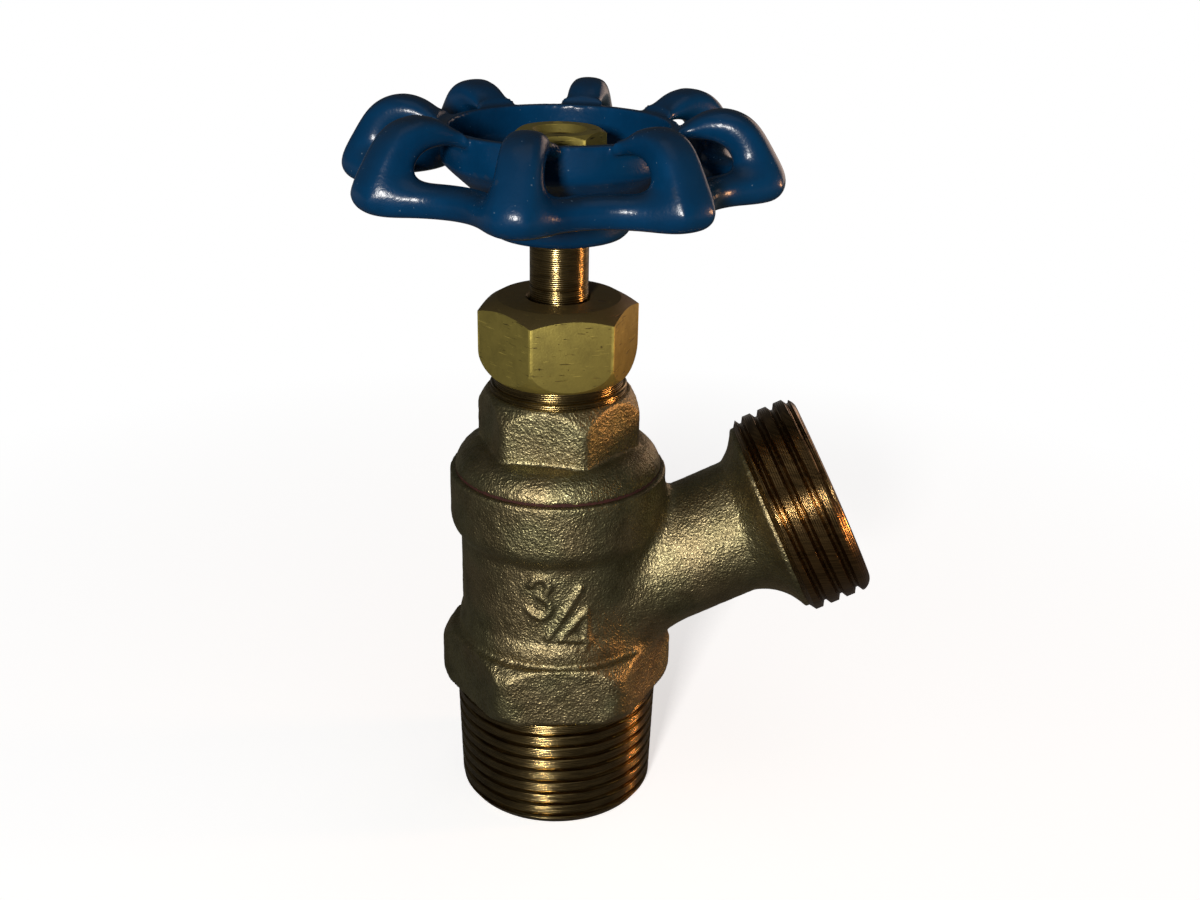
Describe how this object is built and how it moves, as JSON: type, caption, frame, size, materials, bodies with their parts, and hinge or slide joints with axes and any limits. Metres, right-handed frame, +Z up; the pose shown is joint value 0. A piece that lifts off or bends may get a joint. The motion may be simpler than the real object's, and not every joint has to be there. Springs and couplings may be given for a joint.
{
  "type": "boiler drain valve",
  "caption": "Brass boiler drain valve with a tapered pipe thread inlet, an upward slanting hose thread spout, a screwed bonnet with packing nut and a lobed blue handwheel.",
  "frame": {"origin": "centre of the inlet end face, on the valve axis", "axes": "+Z up the valve axis towards the handwheel, the spout leans towards +X, and the valve is closed at rest"},
  "size_m": [0.0677, 0.0528, 0.0927],
  "materials": {
    "cast_bronze": "rough sand cast",
    "turned_brass": "machined",
    "nut_brass": "dull machined",
    "wheel_enamel": "glossy enamel",
    "seat_rubber": "matte",
    "gasket_fibre": "matte pressed fibre",
    "graphite_packing": "matte braid"
  },
  "bodies": {
    "body_group": {"valve_body": "cast_bronze", "bonnet_gasket": "gasket_fibre", "bonnet": "cast_bronze", "packing_washer": "turned_brass", "packing_ring_1": "graphite_packing", "packing_ring_2": "graphite_packing", "packing_ring_3": "graphite_packing", "packing_gland": "turned_brass", "packing_nut": "nut_brass"},
    "disc_carrier": {"disc_holder": "turned_brass", "seat_disc": "seat_rubber", "disc_washer": "turned_brass", "disc_nut": "turned_brass"},
    "spindle": {"stem": "turned_brass", "handwheel": "wheel_enamel", "wheel_nut": "nut_brass"}
  },
  "joints": [
    {"name": "disc_lift", "type": "slide", "parent": "body_group", "child": "disc_carrier", "axis": [0, 0, 1], "range_m": [0, 0.00636]},
    {"name": "stem_turn", "type": "hinge", "parent": "disc_carrier", "child": "spindle", "pos_m": [0, 0, 0.0861], "axis": [0, 0, 1], "range_deg": [0, 900]}
  ],
  "couplings": [
    {"joint": "disc_lift", "follows": "stem_turn", "m_per_rad": 0.00040425}
  ]
}
